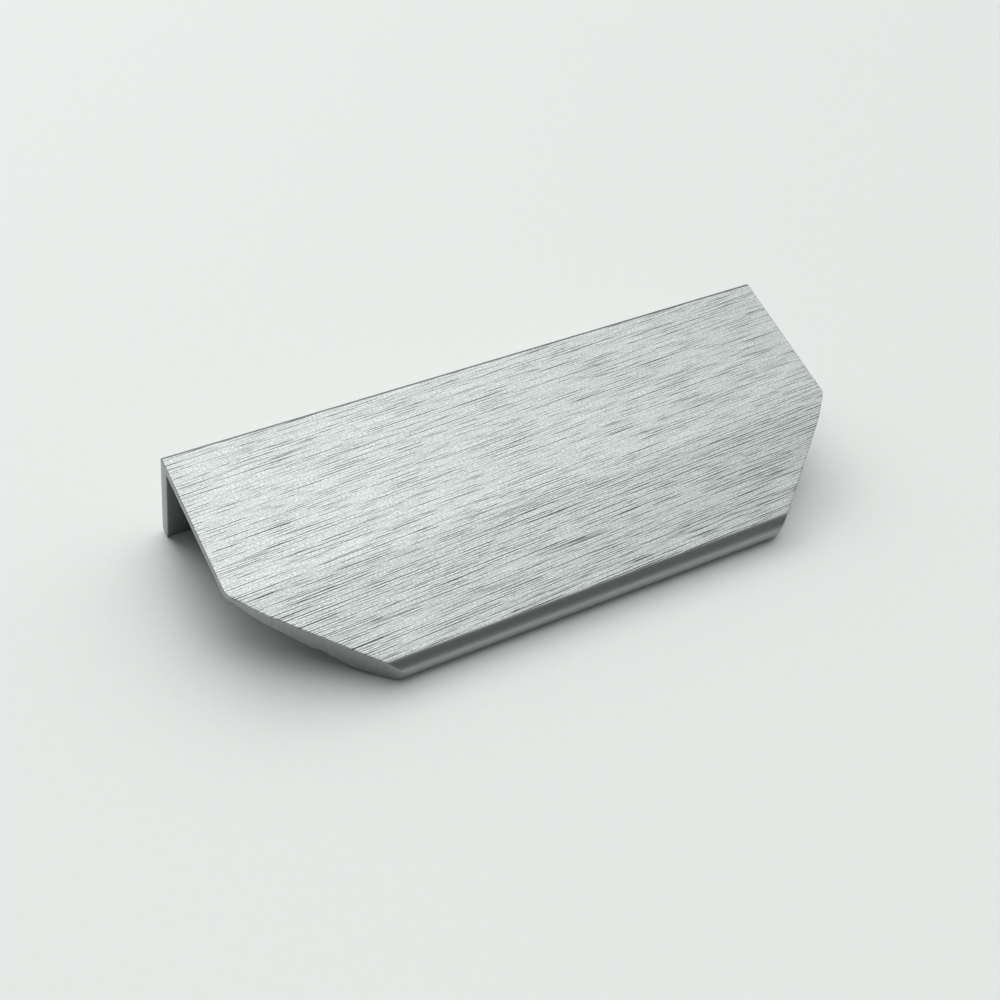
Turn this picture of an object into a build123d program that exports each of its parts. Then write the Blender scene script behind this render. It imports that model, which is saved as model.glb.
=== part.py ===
from build123d import *
import os
from math import asin, atan2, cos, hypot, radians, sin, tan

# Overall sizes of the pull, in millimetres
pull_length = 100.0
leg_height = 18.5
leg_thickness = 2.0
plate_thickness = 1.5
flat_depth = 24.3

# Front part: it bends down by front_slope degrees, thickens and ends in a full round nose
front_slope = 9.8
bend_radius = 14.0
nose_run = 15.0
nose_radius = 2.2
foot_length = 2.6
step_share = 0.68
step_height = 0.5

# Corner cuts leave this width at the tip of the nose, and their front edge just clears the tip
front_width = 63.2
tip_round = 3.0
tip_clear = 0.05

# Each cut starts a little behind the bend with a flatter run, eased at both its ends
shoulder_back = 0.9
ease_run = 4.3
shoulder_round = 2.0
ease_round = 20.0

# Small rounds left by the extrusion die
outer_round = 0.5
inner_round = 0.4
leg_round = 0.7

# Countersunk screw holes through the leg, hole_drop below the top of the plate
hole_centres = 64.0
hole_diameter = 4.0
sink_diameter = 7.0
sink_angle = 90.0
hole_drop = 10.0

# Section points are measured forwards from the back of the leg and up from the top of the plate
slope = radians(front_slope)
nose_u = flat_depth + nose_run
nose_v = -nose_run * tan(slope) - nose_radius / cos(slope)
nose_low = nose_v - nose_radius
nose_tip = nose_u + nose_radius
plan_depth = nose_tip + tip_clear
crest_u = nose_u + nose_radius * sin(slope)
crest_v = nose_v + nose_radius * cos(slope)

# Underside of the front part: two runs of one slope with a small step between them
foot_u = nose_u - foot_length
grip_rise = (nose_low + plate_thickness) / (foot_u - flat_depth)
step_u = flat_depth + (foot_u - flat_depth) * step_share
step_v = -plate_thickness + (step_u - flat_depth) * grip_rise

# Plan of the corner cuts: the flatter run ends ease_run along the cut from the bend
cut_turn = atan2((pull_length - front_width) / 2, plan_depth - flat_depth)
ease_x = pull_length / 2 - ease_run * sin(cut_turn)
ease_u = flat_depth + ease_run * cos(cut_turn)
shoulder_u = flat_depth - shoulder_back

# The pull lies on the toe of its leg and on its nose, so it leans forwards
toe_u = leg_thickness - leg_round
toe_v = leg_round - leg_height
span = hypot(nose_u - toe_u, nose_v - toe_v)
lean = atan2(nose_v - toe_v, nose_u - toe_u) - asin((nose_radius - leg_round) / span)
back_reach = leg_round - leg_round * cos(lean) - toe_v * sin(lean)
front_reach = nose_u * cos(lean) + nose_v * sin(lean) + nose_radius
corner_y = (front_reach - back_reach) / 2
corner_z = leg_round + toe_u * sin(lean) - toe_v * cos(lean)

# Planes of the leaning pull: its section, its plate seen from above and the back of its leg
corner = Vector(0, corner_y, corner_z)
forwards = Vector(0, -cos(lean), -sin(lean))
upwards = Vector(0, -sin(lean), cos(lean))
section_plane = Plane(origin=corner, x_dir=forwards, z_dir=(-1, 0, 0))
plate_plane = Plane(origin=corner, x_dir=(1, 0, 0), z_dir=upwards)
leg_plane = Plane(origin=corner - upwards * hole_drop, x_dir=(-1, 0, 0), z_dir=forwards * -1)

with BuildPart() as edge_pull:
    # One extruded section: leg, plate over the edge of the door, thick front and nose
    with BuildSketch(section_plane) as section:
        with BuildLine():
            Polyline(
                (crest_u, crest_v),
                (flat_depth, 0),
                (0, 0),
                (0, -leg_height),
                (leg_thickness, -leg_height),
                (leg_thickness, -plate_thickness),
                (flat_depth, -plate_thickness),
                (step_u, step_v - step_height / 2),
                (step_u + step_height, step_v + step_height * grip_rise + step_height / 2),
                (foot_u, nose_low),
                (nose_u, nose_low),
            )
            ThreePointArc((nose_u, nose_low), (nose_tip, nose_v), (crest_u, crest_v))
        make_face()
        fillet(section.vertices().sort_by_distance((flat_depth, 0))[0], bend_radius)
        fillet(section.vertices().sort_by_distance((0, 0))[0], outer_round)
        fillet(section.vertices().sort_by_distance((leg_thickness, -plate_thickness))[0], inner_round)
        fillet(section.vertices().sort_by_distance((leg_thickness / 2, -leg_height))[0:2], leg_round)
    extrude(amount=pull_length, both=True)

    # Sawn to length with both front corners cut off, each cut starting near the bend of the plate
    with BuildSketch(plate_plane) as plan:
        with BuildLine():
            Polyline(
                (-front_width / 2, -plan_depth),
                (-ease_x, -ease_u),
                (-pull_length / 2, -shoulder_u),
                (-pull_length / 2, leg_thickness),
                (pull_length / 2, leg_thickness),
                (pull_length / 2, -shoulder_u),
                (ease_x, -ease_u),
                (front_width / 2, -plan_depth),
                close=True,
            )
        make_face()
        fillet(plan.vertices().group_by(Axis.Y)[2], shoulder_round)
        fillet(plan.vertices().group_by(Axis.Y)[1], ease_round)
        fillet(plan.vertices().group_by(Axis.Y)[0], tip_round)
    extrude(amount=leg_height * 2, both=True, mode=Mode.INTERSECT)

    # Screw holes, sunk from the back of the leg
    with Locations(leg_plane):
        with GridLocations(hole_centres, 0, 2, 1):
            CounterSinkHole(
                radius=hole_diameter / 2,
                counter_sink_radius=sink_diameter / 2,
                depth=leg_thickness * 2,
                counter_sink_angle=sink_angle,
            )

edge_pull.part.label = "edge_pull"
os.makedirs("parts", exist_ok=True)
export_step(edge_pull.part, "parts/edge_pull.step")
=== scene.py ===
from math import asin, atan2, cos, hypot, pi, radians, sin, sqrt, tan

import bmesh
import bpy
from mathutils import Euler, Matrix, Vector


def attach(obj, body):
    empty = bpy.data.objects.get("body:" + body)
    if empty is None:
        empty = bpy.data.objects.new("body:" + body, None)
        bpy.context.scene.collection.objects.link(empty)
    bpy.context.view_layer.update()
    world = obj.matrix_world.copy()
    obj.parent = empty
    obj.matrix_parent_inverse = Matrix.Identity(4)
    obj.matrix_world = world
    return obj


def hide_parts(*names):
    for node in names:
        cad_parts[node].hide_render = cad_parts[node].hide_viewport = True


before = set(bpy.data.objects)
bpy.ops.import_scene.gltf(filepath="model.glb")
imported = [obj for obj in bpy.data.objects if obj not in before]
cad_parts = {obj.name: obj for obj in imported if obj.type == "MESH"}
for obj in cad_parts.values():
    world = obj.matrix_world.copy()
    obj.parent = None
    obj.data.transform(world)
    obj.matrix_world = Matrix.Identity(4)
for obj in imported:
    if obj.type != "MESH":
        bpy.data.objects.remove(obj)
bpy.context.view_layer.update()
scene = bpy.context.scene

# The bar. One length of extruded aluminium: a leg that screws to the back of a door, a flat plate
# over the door's edge, and a thicker front that bends down and ends in a round nose.
# The die leaves a small round along each long corner, and the sawn ends have their edges broken.
mm = 0.001
pull_length = 100.0
leg_height = 18.5
leg_thickness = 2.0
plate_thickness = 1.5
flat_depth = 24.3
front_slope = radians(9.8)
bend_radius = 14.0
nose_run = 15.0
nose_radius = 2.2
foot_length = 2.6
step_share = 0.68
step_height = 0.5
outer_round = 0.5
inner_round = 0.4
leg_round = 0.7

# Points of the section are in millimetres: u forwards from the back of the leg, v up from the top
# of the plate.
nose_u = flat_depth + nose_run
nose_v = -nose_run * tan(front_slope) - nose_radius / cos(front_slope)
nose_low = nose_v - nose_radius
nose_tip = nose_u + nose_radius
crest_u = nose_u + nose_radius * sin(front_slope)
bend_start = flat_depth - bend_radius * tan(front_slope / 2)
bend_end = bend_start + bend_radius * sin(front_slope)

foot_u = nose_u - foot_length
grip_rise = (nose_low + plate_thickness) / (foot_u - flat_depth)
step_u = flat_depth + (foot_u - flat_depth) * step_share
step_v = -plate_thickness + (step_u - flat_depth) * grip_rise
underside = [
    (0, -plate_thickness),
    (flat_depth, -plate_thickness),
    (step_u, step_v - step_height / 2),
    (step_u + step_height, step_v + step_height * grip_rise + step_height / 2),
    (foot_u, nose_low),
    (nose_u, nose_low),
]


def top_of(u):
    """Height of the outer line of the section: the flat, the bend, the front and the nose."""
    if u <= bend_start:
        return 0.0
    if u < bend_end:
        return sqrt(bend_radius ** 2 - (u - bend_start) ** 2) - bend_radius
    if u < crest_u:
        return -(u - flat_depth) * tan(front_slope)
    return nose_v + sqrt(max(0.0, nose_radius ** 2 - (u - nose_u) ** 2))


def under_of(u):
    """Height of the inner line of the section, under the plate, the front and the nose."""
    if u > nose_u:
        return nose_v - sqrt(max(0.0, nose_radius ** 2 - (u - nose_u) ** 2))
    for (u0, v0), (u1, v1) in zip(underside, underside[1:]):
        if u <= u1:
            return v0 + (v1 - v0) * (u - u0) / (u1 - u0)


# Both front corners of the bar are sawn off. Each cut starts near the bend with a short flatter
# run; its shoulder, the end of that run and the tip at the nose are eased by hand.
front_width = 63.2
tip_round = 3.0
tip_clear = 0.05
shoulder_back = 0.9
ease_run = 4.3
shoulder_round = 2.0
ease_round = 20.0
plan_depth = nose_tip + tip_clear
cut_turn = atan2((pull_length - front_width) / 2, plan_depth - flat_depth)
plan_corners = [
    (0.0, pull_length / 2),
    (flat_depth - shoulder_back, pull_length / 2),
    (flat_depth + ease_run * cos(cut_turn), pull_length / 2 - ease_run * sin(cut_turn)),
    (plan_depth, front_width / 2),
    (plan_depth, 0.0),
]
plan_turns = [
    atan2(x0 - x1, u1 - u0) for (u0, x0), (u1, x1) in zip(plan_corners, plan_corners[1:])
]
plan_rounds = (shoulder_round, ease_round, tip_round)
plan_arcs = []
for (u, x), turn, next_turn, radius in zip(
        plan_corners[1:], plan_turns, plan_turns[1:], plan_rounds):
    reach = radius * tan((next_turn - turn) / 2)
    centre_u = u - reach * cos(turn) - radius * sin(turn)
    centre_x = x + reach * sin(turn) - radius * cos(turn)
    arc_start = centre_u + radius * sin(turn)
    arc_end = centre_u + radius * sin(next_turn)
    plan_arcs.append((arc_start, arc_end, centre_u, centre_x, radius))


def half_length(u):
    """Half the length of the bar, u in front of the back of its leg."""
    for start, end, centre_u, centre_x, radius in plan_arcs:
        if start <= u <= end:
            return centre_x + sqrt(max(0.0, radius ** 2 - (u - centre_u) ** 2))
    for (u0, x0), (u1, x1) in zip(plan_corners, plan_corners[1:]):
        if u <= u1:
            return x0 + (x1 - x0) * (u - u0) / (u1 - u0)


# The bar lies on the toe of its leg and on its nose, so it leans forwards, and the middle of its
# depth lies over the origin.
toe_u = leg_thickness - leg_round
toe_v = leg_round - leg_height
span = hypot(nose_u - toe_u, nose_v - toe_v)
lean = atan2(nose_v - toe_v, nose_u - toe_u) - asin((nose_radius - leg_round) / span)
back_reach = leg_round - leg_round * cos(lean) - toe_v * sin(lean)
front_reach = nose_u * cos(lean) + nose_v * sin(lean) + nose_radius
corner_y = (front_reach - back_reach) / 2
corner_z = leg_round + toe_u * sin(lean) - toe_v * cos(lean)

# Each rib pairs a point of the outer line of the section with one of its inner line, from the toe
# of the leg, up round the corner and along the plate to the tip of the nose. A rib held close to
# each change of the section keeps the flats beside it flat under smooth shading.
hold = 0.12
rib_spacing = 2.0
round_steps = 8


def stations(marks):
    """Places along a rising run of marks, evenly between them and held close to each."""
    places = []
    for start, end in zip(marks, marks[1:]):
        places.append(start)
        if end - start > 4 * hold:
            places.append(start + hold)
            steps = max(1, round((end - start) / rib_spacing))
            places += [start + (end - start) * i / steps for i in range(1, steps)]
            places.append(end - hold)
    return places + [marks[-1]]


ribs = []
corner_v = -plate_thickness - inner_round
for i in range(round_steps + 1):
    turn = pi / 2 * (1 - i / round_steps)
    ribs.append((
        (leg_round - leg_round * cos(turn), toe_v - leg_round * sin(turn)),
        (leg_thickness - leg_round + leg_round * cos(turn), toe_v - leg_round * sin(turn)),
    ))
for v in stations([toe_v, corner_v])[1:]:
    ribs.append(((0.0, v), (leg_thickness, v)))
ribs.append(((0.0, -outer_round - hold), (leg_thickness, corner_v)))
for i in range(round_steps + 1):
    turn = pi / 2 * i / round_steps
    ribs.append((
        (outer_round - outer_round * cos(turn), outer_round * sin(turn) - outer_round),
        (leg_thickness + inner_round - inner_round * cos(turn), corner_v + inner_round * sin(turn)),
    ))
ribs.append(((outer_round + hold, 0.0), (leg_thickness + inner_round, -plate_thickness)))
plate_marks = [
    leg_thickness + inner_round, flat_depth, step_u, step_u + step_height, foot_u, nose_u, crest_u,
]
for start, end in [(bend_start, bend_end), *[arc[:2] for arc in plan_arcs[:2]]]:
    plate_marks += [start + (end - start) * i / round_steps for i in range(round_steps + 1)]
plate_marks.sort()
for u in stations(plate_marks):
    ribs.append(((u, top_of(u)), (u, under_of(u))))

# The belt that brushed the top left a crisp edge at the crest, so the nose starts a little steeper
# there and runs back into its round at the front of the bar.
crest_edge = radians(20)
crest_steps = 12
front_turn = lean
crest_turn = pi / 2 - front_slope
edge_turn = crest_turn - crest_edge
crest = Vector((nose_u + nose_radius * cos(crest_turn), nose_v + nose_radius * sin(crest_turn)))
front = Vector((nose_u + nose_radius * cos(front_turn), nose_v + nose_radius * sin(front_turn)))
falls = Vector((sin(edge_turn), -cos(edge_turn)))
rises = Vector((-sin(front_turn), cos(front_turn)))
knee = crest + falls * ((front - crest).cross(rises) / falls.cross(rises))
for i in range(1, crest_steps + 1):
    t = i / crest_steps
    outer = crest * (1 - t) ** 2 + knee * (2 * t * (1 - t)) + front * t ** 2
    ribs.append((tuple(outer), (outer.x, under_of(outer.x))))
for i in range(1, round_steps + 1):
    u = nose_u + nose_radius * cos(front_turn * (1 - i / round_steps))
    ribs.append(((u, top_of(u)), (u, under_of(u))))

# The section as one line, from the toe up the back of the leg and along the top to the tip, then
# back along the underside. The girth is the way along that line.
section = [outer for outer, inner in ribs] + [inner for outer, inner in reversed(ribs[:-1])]
girth = [0.0]
for (u0, v0), (u1, v1) in zip(section, section[1:]):
    girth.append(girth[-1] + hypot(u1 - u0, v1 - v0))


def girth_at(u, v):
    """How far round the section, from the toe, its point nearest to (u, v) lies."""
    return min(zip(section, girth), key=lambda pair: hypot(pair[0][0] - u, pair[0][1] - v))[1]


girth_corner = girth_at(outer_round, 0.0)
girth_bend = girth_at(flat_depth, top_of(flat_depth))
girth_crest = girth_at(crest_u, top_of(crest_u))
least_gap = 1e-6


def inwards(i):
    """Direction into the metal at a point of the section, square to its neighbours' line."""
    u, v = section[i]
    earlier = reversed(section[:i] or section)
    later = section[i + 1:] + section
    before = next(p for p in earlier if hypot(p[0] - u, p[1] - v) > least_gap)
    after = next(p for p in later if hypot(p[0] - u, p[1] - v) > least_gap)
    du, dv = after[0] - before[0], after[1] - before[1]
    return dv / hypot(du, dv), -du / hypot(du, dv)


def placed(x, u, v):
    """Where a point of the leaning bar lies, x along it, in metres."""
    return Vector((
        x,
        corner_y - u * cos(lean) - v * sin(lean),
        corner_z - u * sin(lean) + v * cos(lean),
    )) * mm


# The skin is laid in rows along the bar, one for each point of the section. Both ends of a row
# turn in by a quarter round, the broken edge of the saw cut, and the caps close the ends.
# Each face keeps its place on the metal in millimetres, for the finishes to follow.
edge_break = 0.12
break_turns = [0.0, pi / 6, pi / 3, pi / 2]
columns = [i / 4 for i in range(-4, 5)]
BRUSHED, SATIN, SAWN = 0, 1, 2
bar_mesh = bmesh.new()
surface = bar_mesh.loops.layers.uv.new("surface_mm")
rows = []
for i, (u, v) in enumerate(section):
    into_u, into_v = inwards(i)
    flat_half = half_length(u) - edge_break - hold
    row = [(column * flat_half, u, v) for column in columns]
    for turn in break_turns:
        inset = edge_break * (1 - cos(turn))
        u_in, v_in = u + into_u * inset, v + into_v * inset
        x = half_length(u_in) - edge_break * (1 - sin(turn))
        row = [(-x, u_in, v_in), *row, (x, u_in, v_in)]
    rows.append([(bar_mesh.verts.new(placed(*point)), *point) for point in row])


def face(corners, places, finish):
    """One face of the skin, with its finish and its place on the metal."""
    made = bar_mesh.faces.new(corners)
    made.material_index = finish
    made.smooth = True
    for loop, place in zip(made.loops, places):
        loop[surface].uv = place


count = len(section)
for i in range(count):
    here, there = rows[i], rows[(i + 1) % count]
    s0 = girth[i]
    s1 = girth[i + 1] if i + 1 < count else girth[i] + leg_thickness - 2 * leg_round
    finish = BRUSHED if girth_corner <= (s0 + s1) / 2 <= girth_crest else SATIN
    for j in range(len(here) - 1):
        face(
            [here[j][0], here[j + 1][0], there[j + 1][0], there[j][0]],
            [(here[j][1], s0), (here[j + 1][1], s0), (there[j + 1][1], s1), (there[j][1], s1)],
            finish,
        )
for end in (0, -1):
    for i in range(len(ribs) - 1):
        far = count - 1 - i
        corners = []
        for k in (i, i + 1, far - 1, far):
            if rows[k][end] not in corners:
                corners.append(rows[k][end])
        face([c[0] for c in corners], [(c[2], c[3]) for c in corners], SAWN)
weld = 1e-7
bmesh.ops.remove_doubles(bar_mesh, verts=bar_mesh.verts, dist=weld)
bmesh.ops.dissolve_degenerate(bar_mesh, edges=bar_mesh.edges, dist=weld)
bmesh.ops.recalc_face_normals(bar_mesh, faces=bar_mesh.faces)
mesh = bpy.data.meshes.new("edge_pull_bar")
bar_mesh.to_mesh(mesh)
bar_mesh.free()
bar = bpy.data.objects.new("edge_pull_bar", mesh)
scene.collection.objects.link(bar)


def linear(code):
    """An sRGB hex colour as linear light."""
    parts = [int(code[i:i + 2], 16) / 255 for i in (1, 3, 5)]
    return [c / 12.92 if c <= 0.04045 else ((c + 0.055) / 1.055) ** 2.4 for c in parts] + [1.0]


def blank_finish(name):
    """A material named for its finish, with an empty node tree."""
    made = bpy.data.materials.new(name)
    made.use_nodes = True
    made.node_tree.nodes.clear()
    return made


def add(tree, kind, inputs, **settings):
    """A node with its settings, its values and the links into it."""
    made = tree.nodes.new(kind)
    for name, value in settings.items():
        setattr(made, name, value)
    for name, value in inputs.items():
        if isinstance(value, bpy.types.NodeSocket):
            tree.links.new(value, made.inputs[name])
        else:
            made.inputs[name].default_value = value
    return made


# Aluminium brushed along its length with a fine belt, then anodised clear, on top of the plate.
# The belt ran a little askew. It leaves short dark hairlines with a pale burr on both sides, in
# pale, slightly cool metal with a fine sparkle; past the bend it was pressed harder.
line_askew = radians(1.9)
grain_length = 0.36
grain_width = 0.18
pressing_patch = 8.0
bend_blend = 3.0
brushed = blank_finish("hairline_brushed_anodised_aluminium")
tree = brushed.node_tree
place = add(tree, "ShaderNodeUVMap", {}, uv_map="surface_mm").outputs["UV"]
round_section = add(tree, "ShaderNodeSeparateXYZ", {"Vector": place}).outputs["Y"]
askew = add(tree, "ShaderNodeMapping", {
    "Vector": place, "Rotation": (0.0, 0.0, line_askew),
}).outputs["Vector"]
spot = add(tree, "ShaderNodeSeparateXYZ", {"Vector": askew}).outputs
sparkle = add(tree, "ShaderNodeTexNoise", {
    "Vector": add(tree, "ShaderNodeMapping", {
        "Vector": askew, "Scale": (1 / grain_length, 1 / grain_width, 1.0),
    }).outputs["Vector"],
    "Scale": 1.0, "Detail": 1.0,
}, noise_dimensions="2D").outputs["Fac"]
pressing = add(tree, "ShaderNodeTexNoise", {
    "Vector": place, "Scale": 1 / pressing_patch, "Detail": 1.0,
}, noise_dimensions="2D").outputs["Fac"]
harder = add(tree, "ShaderNodeMapRange", {
    "Value": round_section,
    "From Min": girth_bend - bend_blend, "From Max": girth_bend + bend_blend,
    "To Min": 0.035, "To Max": 0.075,
}, interpolation_type="SMOOTHSTEP").outputs["Result"]
pressing_share = 0.06
harder = add(tree, "ShaderNodeMath", {
    0: pressing, 1: pressing_share, 2: harder,
}, operation="MULTIPLY_ADD").outputs["Value"]

# Every line keeps to a lane of its own, so that pale metal shows between it and the next. In its
# lane it comes and goes over the given length, from a start of its own. Real lines are finer and
# closer than the render can show, so these are drawn wider and further apart.
lane_margin = 0.25
lane_starts = 500.0
line_foot, line_core = 0.7, 0.3
burr_foot, burr_core = 1.7, 1.0
bite_fade, bite_full = 0.20, 0.06
sparkle_bite = 0.15
strand_share = 0.08
burr_share = 0.12
hairlines = 0.0
scratches = 0.0
for length_mm, spacing_mm, width_mm, depth in (
        (16.0, 0.53, 0.12, 0.20), (11.0, 0.41, 0.12, 0.20), (6.5, 0.31, 0.11, 0.18)):
    width = width_mm / spacing_mm
    lanes = add(tree, "ShaderNodeMath", {
        0: spot["Y"], 1: spacing_mm,
    }, operation="DIVIDE").outputs["Value"]
    lane = add(tree, "ShaderNodeMath", {0: lanes}, operation="FLOOR").outputs["Value"]
    across = add(tree, "ShaderNodeMath", {0: lanes}, operation="FRACT").outputs["Value"]
    chance = add(tree, "ShaderNodeTexWhiteNoise", {"W": lane}, noise_dimensions="1D")
    drawn = add(tree, "ShaderNodeSeparateColor", {"Color": chance.outputs["Color"]}).outputs
    middle = add(tree, "ShaderNodeMath", {
        0: drawn["Green"], 1: 1 - 2 * lane_margin, 2: lane_margin,
    }, operation="MULTIPLY_ADD").outputs["Value"]
    aside = add(tree, "ShaderNodeMath", {
        0: across, 1: middle,
    }, operation="SUBTRACT").outputs["Value"]
    away = add(tree, "ShaderNodeMath", {0: aside}, operation="ABSOLUTE").outputs["Value"]
    line = add(tree, "ShaderNodeMapRange", {
        "Value": away, "From Min": line_foot * width, "From Max": line_core * width,
    }).outputs["Result"]
    burr = add(tree, "ShaderNodeMapRange", {
        "Value": away, "From Min": burr_foot * width, "From Max": burr_core * width,
    }).outputs["Result"]
    start = add(tree, "ShaderNodeMath", {
        0: drawn["Red"], 1: lane_starts,
    }, operation="MULTIPLY").outputs["Value"]
    along = add(tree, "ShaderNodeMath", {
        0: spot["X"], 1: 1 / length_mm, 2: start,
    }, operation="MULTIPLY_ADD").outputs["Value"]
    strand = add(tree, "ShaderNodeTexNoise", {
        "W": along, "Scale": 1.0, "Detail": 2.0, "Roughness": 0.55,
    }, noise_dimensions="1D").outputs["Fac"]
    bite = add(tree, "ShaderNodeMath", {
        0: harder, 1: strand,
    }, operation="SUBTRACT").outputs["Value"]
    bite = add(tree, "ShaderNodeMath", {
        0: sparkle, 1: sparkle_bite, 2: bite,
    }, operation="MULTIPLY_ADD").outputs["Value"]
    bite = add(tree, "ShaderNodeMapRange", {
        "Value": bite, "From Min": -depth - bite_fade, "From Max": -depth + bite_full,
    }).outputs["Result"]
    scratches = add(tree, "ShaderNodeMath", {
        0: line, 1: bite, 2: scratches,
    }, operation="MULTIPLY_ADD").outputs["Value"]
    hairlines = add(tree, "ShaderNodeMath", {
        0: strand, 1: strand_share, 2: hairlines,
    }, operation="MULTIPLY_ADD").outputs["Value"]
    thrown = add(tree, "ShaderNodeMath", {
        0: burr, 1: bite,
    }, operation="MULTIPLY").outputs["Value"]
    hairlines = add(tree, "ShaderNodeMath", {
        0: thrown, 1: burr_share, 2: hairlines,
    }, operation="MULTIPLY_ADD").outputs["Value"]
sparkle_share = 0.46
metal = add(tree, "ShaderNodeMath", {
    0: sparkle, 1: sparkle_share, 2: hairlines,
}, operation="MULTIPLY_ADD").outputs["Value"]
metal = add(tree, "ShaderNodeMapRange", {
    "Value": metal, "From Min": 0.13, "From Max": 0.65,
}).outputs["Result"]
scratch = add(tree, "ShaderNodeMath", {
    0: scratches, 1: 1.0,
}, operation="MINIMUM").outputs["Value"]
colour = add(tree, "ShaderNodeMix", {
    "Factor": metal, "A": linear("#858A89"), "B": linear("#DEE2E1"),
}, data_type="RGBA").outputs["Result"]
colour = add(tree, "ShaderNodeMix", {
    "Factor": scratch, "A": colour, "B": linear("#4C5251"),
}, data_type="RGBA").outputs["Result"]
dulling = add(tree, "ShaderNodeMapRange", {
    "Value": metal, "To Min": 0.46, "To Max": 0.38,
}).outputs["Result"]
skin_depth = 0.02 * mm
relief = add(tree, "ShaderNodeBump", {
    "Height": scratch, "Strength": 0.10, "Distance": skin_depth,
}, invert=True).outputs["Normal"]
tangent = add(
    tree, "ShaderNodeTangent", {}, direction_type="UV_MAP", uv_map="surface_mm",
).outputs["Tangent"]
shader = add(tree, "ShaderNodeBsdfPrincipled", {
    "Base Color": colour, "Metallic": 1.0, "Roughness": dulling, "Normal": relief,
    "Anisotropic": 0.4, "Anisotropic Rotation": 0.25, "Tangent": tangent,
})
add(tree, "ShaderNodeOutputMaterial", {"Surface": shader.outputs["BSDF"]})

# The leg, the underside and the nose keep the skin of the extrusion, etched and anodised to an
# even satin grey. Close to, it has a fine matt grain and faint lines drawn by the die. The round
# back corner is painted darker: painted shade standing in for the dark reflection it shows.
die_line = (70.0, 0.25)
matt_grain = (0.25, 0.25)
skin_least, skin_most = 0.7, 1.3
half_corner = outer_round * pi / 4
satin = blank_finish("satin_anodised_aluminium")
tree = satin.node_tree
place = add(tree, "ShaderNodeUVMap", {}, uv_map="surface_mm").outputs["UV"]
strands = []
for length_mm, width_mm in (die_line, matt_grain):
    laid = add(tree, "ShaderNodeMapping", {
        "Vector": place, "Scale": (1 / length_mm, 1 / width_mm, 1.0),
    }).outputs["Vector"]
    strands.append(add(tree, "ShaderNodeTexNoise", {
        "Vector": laid, "Scale": 1.0, "Detail": 2.0, "Roughness": 0.6,
    }, noise_dimensions="2D").outputs["Fac"])
skin = add(tree, "ShaderNodeMath", {
    0: strands[0], 1: strands[1],
}, operation="ADD").outputs["Value"]
colour = add(tree, "ShaderNodeMix", {
    "Factor": add(tree, "ShaderNodeMapRange", {
        "Value": skin, "From Min": skin_least, "From Max": skin_most,
    }).outputs["Result"],
    "A": linear("#9DA1A0"), "B": linear("#A5A9A8"),
}, data_type="RGBA").outputs["Result"]
dulling = add(tree, "ShaderNodeMapRange", {
    "Value": skin, "From Min": skin_least, "From Max": skin_most, "To Min": 0.42, "To Max": 0.34,
}).outputs["Result"]
round_section = add(tree, "ShaderNodeSeparateXYZ", {"Vector": place}).outputs["Y"]
# Painted shade: the colour along the round back corner is darkened to stand for its dark
# reflection.
painted_shade_corner = add(tree, "ShaderNodeMath", {
    0: round_section, 1: girth_corner - half_corner, 2: half_corner,
}, operation="COMPARE").outputs["Value"]
colour = add(tree, "ShaderNodeMix", {
    "Factor": painted_shade_corner, "A": colour, "B": linear("#626665"),
}, data_type="RGBA").outputs["Result"]
relief = add(tree, "ShaderNodeBump", {
    "Height": skin, "Strength": 0.10, "Distance": skin_depth,
}).outputs["Normal"]
shader = add(tree, "ShaderNodeBsdfPrincipled", {
    "Base Color": colour, "Metallic": 1.0, "Roughness": dulling, "Normal": relief,
})
add(tree, "ShaderNodeOutputMaterial", {"Surface": shader.outputs["BSDF"]})

# The ends were sawn before the bar was anodised. The blade leaves fine, nearly upright lines, and
# the etch dulls them to an even grey.
blade_turn = radians(12)
kerf_width = 0.22
kerf_length = 3.5
kerf_least, kerf_most = 0.3, 0.7
sawn = blank_finish("sawn_anodised_aluminium")
tree = sawn.node_tree
place = add(tree, "ShaderNodeUVMap", {}, uv_map="surface_mm").outputs["UV"]
turned = add(tree, "ShaderNodeMapping", {
    "Vector": place, "Rotation": (0.0, 0.0, blade_turn),
    "Scale": (1 / kerf_width, 1 / kerf_length, 1.0),
}).outputs["Vector"]
kerf = add(tree, "ShaderNodeTexNoise", {
    "Vector": turned, "Scale": 1.0, "Detail": 2.0, "Roughness": 0.6,
}, noise_dimensions="2D").outputs["Fac"]
colour = add(tree, "ShaderNodeMix", {
    "Factor": add(tree, "ShaderNodeMapRange", {
        "Value": kerf, "From Min": kerf_least, "From Max": kerf_most,
    }).outputs["Result"],
    "A": linear("#A4A8A7"), "B": linear("#ACB0AF"),
}, data_type="RGBA").outputs["Result"]
dulling = add(tree, "ShaderNodeMapRange", {
    "Value": kerf, "From Min": kerf_least, "From Max": kerf_most, "To Min": 0.54, "To Max": 0.46,
}).outputs["Result"]
relief = add(tree, "ShaderNodeBump", {
    "Height": kerf, "Strength": 0.15, "Distance": skin_depth,
}).outputs["Normal"]
shader = add(tree, "ShaderNodeBsdfPrincipled", {
    "Base Color": colour, "Metallic": 1.0, "Roughness": dulling, "Normal": relief,
})
add(tree, "ShaderNodeOutputMaterial", {"Surface": shader.outputs["BSDF"]})

for finish in (brushed, satin, sawn):
    bar.data.materials.append(finish)

# Two screw holes through the leg, drilled and sunk from its back for countersunk wood screws.
# They were made before the anodising, so their walls have the same satin skin.
hole_centres = 64.0
hole_diameter = 4.0
sink_diameter = 7.0
hole_drop = 10.0
drill_clear = 0.3
drill_facets = 48

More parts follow.
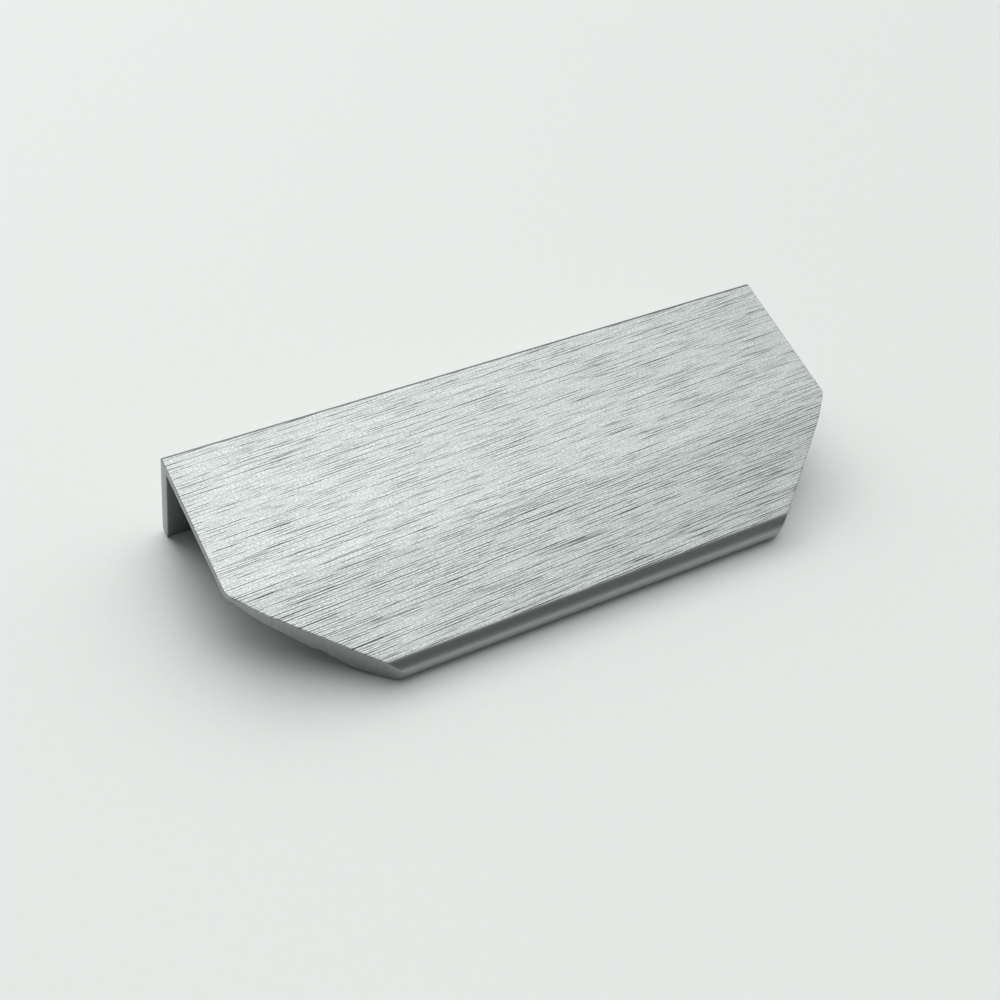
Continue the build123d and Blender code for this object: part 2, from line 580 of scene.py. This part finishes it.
holes = bpy.data.node_groups.new("screw_holes", "GeometryNodeTree")
holes.interface.new_socket("Bar", in_out="INPUT", socket_type="NodeSocketGeometry")
for name in ("Centres", "Hole Radius", "Sink Radius", "Leg Thickness", "Clear"):
    holes.interface.new_socket(name, in_out="INPUT", socket_type="NodeSocketFloat")
for name in ("First Hole", "Drill Turn"):
    holes.interface.new_socket(name, in_out="INPUT", socket_type="NodeSocketVector")
holes.interface.new_socket("Wall", in_out="INPUT", socket_type="NodeSocketMaterial")
holes.interface.new_socket("Bar", in_out="OUTPUT", socket_type="NodeSocketGeometry")
given = add(holes, "NodeGroupInput", {}).outputs

# The drill is a round bar of three rings: wide behind the leg, narrow from the foot of the sink
# on. The sink tapers at 45 degrees, so it is as deep as it is wider than the hole.
drill = add(holes, "GeometryNodeMeshCylinder", {
    "Vertices": drill_facets, "Side Segments": 2, "Radius": 1.0, "Depth": 2.0,
}).outputs["Mesh"]
ring = add(holes, "ShaderNodeSeparateXYZ", {
    "Vector": add(holes, "GeometryNodeInputPosition", {}).outputs["Position"],
}).outputs
sink_depth = add(holes, "ShaderNodeMath", {
    0: given["Sink Radius"], 1: given["Hole Radius"],
}, operation="SUBTRACT").outputs["Value"]
behind = add(holes, "ShaderNodeMath", {
    0: ring["Z"], 1: 0.0,
}, operation="MAXIMUM").outputs["Value"]
ahead = add(holes, "ShaderNodeMath", {
    0: ring["Z"], 1: 0.0,
}, operation="MINIMUM").outputs["Value"]
wide = add(holes, "ShaderNodeMath", {
    0: sink_depth, 1: given["Clear"],
}, operation="ADD").outputs["Value"]
radius = add(holes, "ShaderNodeMath", {
    0: behind, 1: wide, 2: given["Hole Radius"],
}, operation="MULTIPLY_ADD").outputs["Value"]
through = add(holes, "ShaderNodeMath", {
    0: add(holes, "ShaderNodeMath", {
        0: given["Leg Thickness"], 1: given["Clear"],
    }, operation="ADD").outputs["Value"],
    1: sink_depth,
}, operation="SUBTRACT").outputs["Value"]
back_part = add(holes, "ShaderNodeMath", {
    0: behind, 1: wide,
}, operation="MULTIPLY").outputs["Value"]
drill_reach = add(holes, "ShaderNodeMath", {
    0: add(holes, "ShaderNodeMath", {
        0: ahead, 1: through, 2: back_part,
    }, operation="MULTIPLY_ADD").outputs["Value"],
    1: sink_depth,
}, operation="SUBTRACT").outputs["Value"]
turned_ring = add(holes, "ShaderNodeCombineXYZ", {
    "X": add(holes, "ShaderNodeMath", {
        0: ring["X"], 1: radius,
    }, operation="MULTIPLY").outputs["Value"],
    "Y": add(holes, "ShaderNodeMath", {
        0: ring["Y"], 1: radius,
    }, operation="MULTIPLY").outputs["Value"],
    "Z": drill_reach,
}).outputs["Vector"]
drill = add(holes, "GeometryNodeSetPosition", {
    "Geometry": drill, "Position": turned_ring,
}).outputs["Geometry"]
drill = add(holes, "GeometryNodeSetMaterial", {
    "Geometry": drill, "Material": given["Wall"],
}).outputs["Geometry"]
spots = add(holes, "GeometryNodeMeshLine", {
    "Count": 2, "Start Location": given["First Hole"],
    "Offset": add(holes, "ShaderNodeCombineXYZ", {"X": given["Centres"]}).outputs["Vector"],
}).outputs["Mesh"]
drill_turn = add(holes, "FunctionNodeEulerToRotation", {
    "Euler": given["Drill Turn"],
}).outputs["Rotation"]
drills = add(holes, "GeometryNodeInstanceOnPoints", {
    "Points": spots, "Instance": drill, "Rotation": drill_turn,
}).outputs["Instances"]
drills = add(holes, "GeometryNodeRealizeInstances", {"Geometry": drills}).outputs["Geometry"]
drilled = add(holes, "GeometryNodeMeshBoolean", {
    "Mesh 1": given["Bar"], "Mesh 2": drills,
}, operation="DIFFERENCE", solver="EXACT").outputs["Mesh"]
add(holes, "NodeGroupOutput", {"Bar": drilled})

drilling = bar.modifiers.new("screw_holes", "NODES")
drilling.node_group = holes
values = {
    "Centres": hole_centres * mm,
    "Hole Radius": hole_diameter / 2 * mm,
    "Sink Radius": sink_diameter / 2 * mm,
    "Leg Thickness": leg_thickness * mm,
    "Clear": drill_clear * mm,
    "First Hole": placed(-hole_centres / 2, 0.0, -hole_drop),
    "Drill Turn": (lean - pi / 2, 0.0, 0.0),
    "Wall": satin,
}
for socket in holes.interface.items_tree:
    if socket.in_out == "INPUT" and socket.name in values:
        drilling[socket.identifier] = values[socket.name]
depsgraph = bpy.context.evaluated_depsgraph_get()
mesh = bpy.data.meshes.new_from_object(bar.evaluated_get(depsgraph))
bar.modifiers.remove(drilling)
bar.data = mesh
mesh.name = "edge_pull_bar"
mesh.shade_smooth()
sharp_from = radians(31)
mesh.set_sharp_from_angle(angle=sharp_from)
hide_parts("edge_pull")
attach(bar, "root")

# The table the pull lies on: a board sprayed with white lacquer. It is smooth and dull, with the
# faint orange peel that the spray gun leaves. It reaches far enough for its edges not to show.
table_reach = 20.0
peel_size = 1.5
table_mesh = bmesh.new()
bmesh.ops.create_grid(table_mesh, x_segments=1, y_segments=1, size=table_reach)
mesh = bpy.data.meshes.new("table")
table_mesh.to_mesh(mesh)
table_mesh.free()
table = bpy.data.objects.new("table", mesh)
scene.collection.objects.link(table)
white = blank_finish("white_lacquer")
tree = white.node_tree
peel = add(tree, "ShaderNodeTexNoise", {
    "Vector": add(tree, "ShaderNodeTexCoord", {}).outputs["Object"],
    "Scale": 1 / (peel_size * mm), "Detail": 1.0,
}, noise_dimensions="2D").outputs["Fac"]
colour = add(tree, "ShaderNodeMix", {
    "Factor": peel, "A": linear("#E5E7E5"), "B": linear("#E7E9E7"),
}, data_type="RGBA").outputs["Result"]
dulling = add(tree, "ShaderNodeMapRange", {
    "Value": peel, "To Min": 0.65, "To Max": 0.55,
}).outputs["Result"]
relief = add(tree, "ShaderNodeBump", {
    "Height": peel, "Strength": 0.05, "Distance": skin_depth,
}).outputs["Normal"]
shader = add(tree, "ShaderNodeBsdfPrincipled", {
    "Base Color": colour, "Roughness": dulling, "Normal": relief,
})
add(tree, "ShaderNodeOutputMaterial", {"Surface": shader.outputs["BSDF"]})
mesh.materials.append(white)

# Light: two soft windows side by side behind the pull, a pale ceiling over it and a dimmer wall on
# its right. The front and the left of the room stay dim, and a low pale band closes it all round.
# Each patch has the direction of its middle, its strength there, and how tightly it is gathered.
band_top, band_foot = 0.24, 0.06
left_window = ((-0.20, 0.80, 0.62), 2.50, 13.5)
right_window = ((0.16, 0.80, 0.62), 2.45, 13.5)
ceiling = ((0.20, -0.08, 1.00), 2.30, 10.0)
right_wall = ((0.85, 0.25, 0.50), 0.85, 6.0)
room = bpy.data.worlds.new("pale_room")
room.use_nodes = True
tree = room.node_tree
tree.nodes.clear()
towards = add(tree, "ShaderNodeTexCoord", {}).outputs["Generated"]
height = add(tree, "ShaderNodeSeparateXYZ", {"Vector": towards}).outputs["Z"]
glow = add(tree, "ShaderNodeMapRange", {
    "Value": height, "From Min": band_top, "From Max": band_foot, "To Min": 0.03, "To Max": 0.60,
}, interpolation_type="SMOOTHSTEP").outputs["Result"]
for middle, strength, focus in (left_window, right_window, ceiling, right_wall):
    facing = add(tree, "ShaderNodeVectorMath", {
        0: towards, 1: Vector(middle).normalized(),
    }, operation="DOT_PRODUCT").outputs["Value"]
    falling = add(tree, "ShaderNodeMath", {
        0: facing, 1: focus, 2: -focus,
    }, operation="MULTIPLY_ADD").outputs["Value"]
    patch = add(tree, "ShaderNodeMath", {0: falling}, operation="EXPONENT").outputs["Value"]
    glow = add(tree, "ShaderNodeMath", {
        0: patch, 1: strength, 2: glow,
    }, operation="MULTIPLY_ADD").outputs["Value"]
shader = add(tree, "ShaderNodeBackground", {"Color": linear("#FDFFFE"), "Strength": glow})
add(tree, "ShaderNodeOutputWorld", {"Surface": shader.outputs["Background"]})
scene.world = room

# The camera stands at the front left, above the pull, and looks down on its top. The lens is a
# little longer than normal and shifted slightly, for the photograph's framing. The tilt counts
# from straight down, the roll leans the picture, and the turn is round the upright.
camera_stand = Vector((-89.669, -142.209, 153.112)) * mm
camera_tilt = radians(45.3432)
camera_roll = radians(-2.7139)
camera_turn = radians(-29.4193)
camera_data = bpy.data.cameras.new("camera")
camera_data.sensor_width = 36.0
camera_data.lens = 53.475
camera_data.shift_x = -0.0202
camera_data.shift_y = 0.0763
camera_data.clip_start = 0.01
camera = bpy.data.objects.new("camera", camera_data)
camera_aim = Euler((camera_tilt, camera_roll, camera_turn))
camera.matrix_world = Matrix.LocRotScale(camera_stand, camera_aim, None)
scene.collection.objects.link(camera)
scene.camera = camera

scene.view_settings.view_transform = "Standard"
